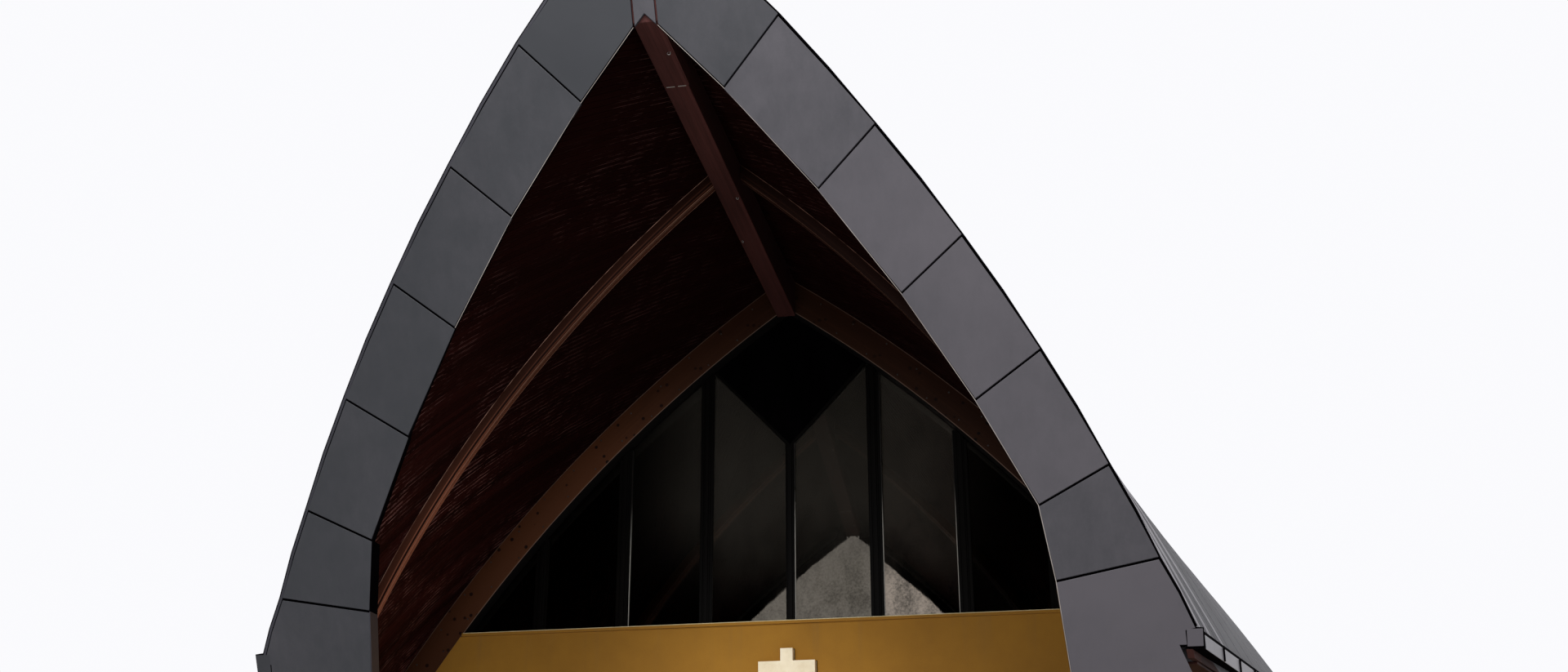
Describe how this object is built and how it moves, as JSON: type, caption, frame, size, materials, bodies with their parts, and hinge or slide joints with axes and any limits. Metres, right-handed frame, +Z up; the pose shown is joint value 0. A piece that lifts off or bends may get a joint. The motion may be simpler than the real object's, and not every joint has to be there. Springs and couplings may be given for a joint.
{
  "type": "modern church building",
  "caption": "Hollow church with a leaning pointed-arch porch, glazed gables above rendered walls, and a curved vault roof on timber arches.",
  "frame": {"origin": "middle of the building's footprint at ground level", "axes": "+X to the right seen from the front, +Y from the porch towards the rear gable, +Z up"},
  "size_m": [17.6394, 26.9538, 12.4903],
  "materials": {
    "cladding": "satin grey sheet panels with narrow open joints",
    "roofing": "standing seam sheet, matt grey",
    "gutter": "folded grey sheet",
    "soffit_boards": "dark red-brown stained boards",
    "timber": "brown stained glued timber",
    "dark_frame": "dark brown painted frames",
    "door": "dark stained boards",
    "render": "ochre mineral render",
    "glass": "dark clear glass",
    "pale_stone": "smooth cream stone"
  },
  "bodies": {
    "root": {"front_arch_left": "cladding", "front_arch_right": "cladding", "front_arch_key": "cladding", "rear_trim_left": "cladding", "rear_trim_right": "cladding", "porch_roof_left": "roofing", "porch_roof_right": "roofing", "nave_roof_left": "roofing", "nave_roof_right": "roofing", "ridge_cap": "roofing", "porch_gutter_left": "gutter", "porch_gutter_right": "gutter", "nave_gutter_left": "gutter", "nave_gutter_right": "gutter", "porch_soffit_left": "soffit_boards", "porch_soffit_right": "soffit_boards", "nave_soffit_left": "soffit_boards", "nave_soffit_right": "soffit_boards", "porch_ridge_beam": "soffit_boards", "porch_rib_left": "timber", "porch_rib_right": "timber", "main_arch": "timber", "nave_arch_1": "timber", "nave_arch_2": "timber", "nave_arch_3": "timber", "rear_arch": "timber", "mullion_1": "dark_frame", "mullion_2": "dark_frame", "mullion_3": "dark_frame", "mullion_4": "dark_frame", "mullion_5": "dark_frame", "mullion_6": "dark_frame", "mullion_7": "dark_frame", "rear_mullions": "dark_frame", "vent_panel": "dark_frame", "door_frame": "dark_frame", "door_leaf_left": "door", "door_leaf_right": "door", "front_wall_left": "render", "front_wall_right": "render", "front_wall_over_door": "render", "side_wall_left": "render", "side_wall_right": "render", "rear_wall": "render", "glazing": "glass", "rear_glazing": "glass", "cross": "pale_stone", "sill": "pale_stone"}
  },
  "joints": []
}
